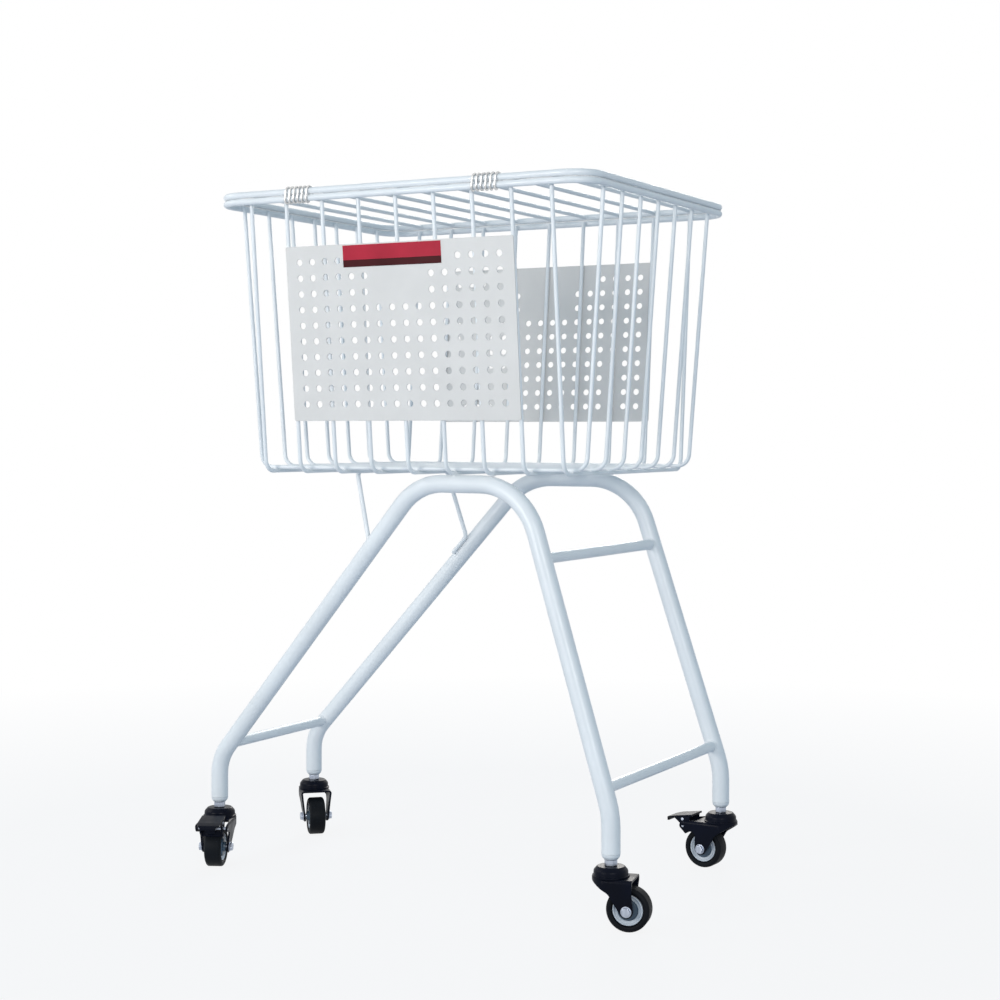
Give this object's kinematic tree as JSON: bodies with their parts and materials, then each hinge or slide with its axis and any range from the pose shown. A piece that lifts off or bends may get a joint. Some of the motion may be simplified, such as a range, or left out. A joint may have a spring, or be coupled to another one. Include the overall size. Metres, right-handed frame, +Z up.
{
  "type": "ball cart",
  "caption": "Wire ball cart: tapered basket with perforated panels and a hinged wire lid, on a bent tube stand with swivel casters, two braked.",
  "frame": {"origin": "on the floor, under the middle of the bounding box", "axes": "+Z up; +X along the basket's long side towards the end where the legs are steep; -Y towards the side with the lid's hinges"},
  "size_m": [0.651, 0.426, 0.8512],
  "materials": {
    "white_paint": "white powder coat, semi-gloss",
    "panel_paint": "light grey powder coat, satin",
    "zinc": "zinc plated, satin",
    "white_plastic": "satin white",
    "black_paint": "black, semi-gloss",
    "tyre": "smooth black rubber",
    "rim_plastic": "light grey",
    "hub_plastic": "dark blue-grey"
  },
  "bodies": {
    "cart": {"frame_front": "white_paint", "frame_back": "white_paint", "bar_left": "white_paint", "bar_right_lower": "white_paint", "bar_right_upper": "white_paint", "brace_wire": "white_paint", "basket_rim": "white_paint", "basket_long_wire_1": "white_paint", "basket_long_wire_2": "white_paint", "basket_long_wire_3": "white_paint", "basket_long_wire_4": "white_paint", "basket_long_wire_5": "white_paint", "basket_long_wire_6": "white_paint", "basket_long_wire_7": "white_paint", "basket_cross_wire_1": "white_paint", "basket_cross_wire_2": "white_paint", "basket_cross_wire_3": "white_paint", "basket_cross_wire_4": "white_paint", "basket_cross_wire_5": "white_paint", "basket_cross_wire_6": "white_paint", "basket_cross_wire_7": "white_paint", "basket_cross_wire_8": "white_paint", "basket_cross_wire_9": "white_paint", "panel_front": "panel_paint", "panel_back": "panel_paint", "hinge_coil_left": "zinc", "hinge_coil_right": "zinc", "caster_front_left_insert": "white_plastic", "caster_front_left_stem": "zinc", "caster_back_left_insert": "white_plastic", "caster_back_left_stem": "zinc", "caster_front_right_insert": "white_plastic", "caster_front_right_stem": "zinc", "caster_back_right_insert": "white_plastic", "caster_back_right_stem": "zinc"},
    "lid": {"lid_grille": "white_paint"},
    "caster_front_left_swivel": {"caster_front_left_fork": "black_paint", "caster_front_left_axle": "zinc"},
    "caster_front_left_wheel": {"caster_front_left_tyre": "tyre", "caster_front_left_rim": "rim_plastic", "caster_front_left_hub": "hub_plastic"},
    "caster_front_left_brake": {"caster_front_left_lever": "black_paint"},
    "caster_back_left_swivel": {"caster_back_left_fork": "black_paint", "caster_back_left_axle": "zinc"},
    "caster_back_left_wheel": {"caster_back_left_tyre": "tyre", "caster_back_left_rim": "rim_plastic", "caster_back_left_hub": "hub_plastic"},
    "caster_front_right_swivel": {"caster_front_right_fork": "black_paint", "caster_front_right_axle": "zinc"},
    "caster_front_right_wheel": {"caster_front_right_tyre": "tyre", "caster_front_right_rim": "rim_plastic", "caster_front_right_hub": "hub_plastic"},
    "caster_back_right_swivel": {"caster_back_right_fork": "black_paint", "caster_back_right_axle": "zinc"},
    "caster_back_right_wheel": {"caster_back_right_tyre": "tyre", "caster_back_right_rim": "rim_plastic", "caster_back_right_hub": "hub_plastic"},
    "caster_back_right_brake": {"caster_back_right_lever": "black_paint"}
  },
  "joints": [
    {"name": "lid_hinge", "type": "hinge", "parent": "cart", "child": "lid", "pos_m": [0.01728, -0.20596, 0.84445], "axis": [1, 0, 0], "range_deg": [0, 190]},
    {"name": "caster_front_left_swivel_joint", "type": "hinge", "parent": "cart", "child": "caster_front_left_swivel", "pos_m": [-0.30416, -0.10707, 0.06], "axis": [0, 0, 1], "continuous": true},
    {"name": "caster_front_left_wheel_joint", "type": "hinge", "parent": "caster_front_left_swivel", "child": "caster_front_left_wheel", "pos_m": [-0.29562, -0.12626, 0.025], "axis": [0.9135, 0.4067, 0], "continuous": true},
    {"name": "caster_front_left_brake_joint", "type": "hinge", "parent": "caster_front_left_swivel", "child": "caster_front_left_brake", "pos_m": [-0.28627, -0.14727, 0.053], "axis": [0.9135, 0.4067, 0], "range_deg": [0, 12]},
    {"name": "caster_back_left_swivel_joint", "type": "hinge", "parent": "cart", "child": "caster_back_left_swivel", "pos_m": [-0.30416, 0.11015, 0.06], "axis": [0, 0, 1], "continuous": true},
    {"name": "caster_back_left_wheel_joint", "type": "hinge", "parent": "caster_back_left_swivel", "child": "caster_back_left_wheel", "pos_m": [-0.29038, 0.0943, 0.025], "axis": [0.7547, 0.6561, 0], "continuous": true},
    {"name": "caster_front_right_swivel_joint", "type": "hinge", "parent": "cart", "child": "caster_front_right_swivel", "pos_m": [0.27901, -0.16456, 0.06], "axis": [0, 0, 1], "continuous": true},
    {"name": "caster_front_right_wheel_joint", "type": "hinge", "parent": "caster_front_right_swivel", "child": "caster_front_right_wheel", "pos_m": [0.29955, -0.1602, 0.025], "axis": [-0.2079, 0.9781, 0], "continuous": true},
    {"name": "caster_back_right_swivel_joint", "type": "hinge", "parent": "cart", "child": "caster_back_right_swivel", "pos_m": [0.27901, 0.16764, 0.06], "axis": [0, 0, 1], "continuous": true},
    {"name": "caster_back_right_wheel_joint", "type": "hinge", "parent": "caster_back_right_swivel", "child": "caster_back_right_wheel", "pos_m": [0.25806, 0.1691, 0.025], "axis": [-0.0698, -0.9976, 0], "continuous": true},
    {"name": "caster_back_right_brake_joint", "type": "hinge", "parent": "caster_back_right_swivel", "child": "caster_back_right_brake", "pos_m": [0.23512, 0.17071, 0.053], "axis": [-0.0698, -0.9976, 0], "range_deg": [0, 12]}
  ]
}
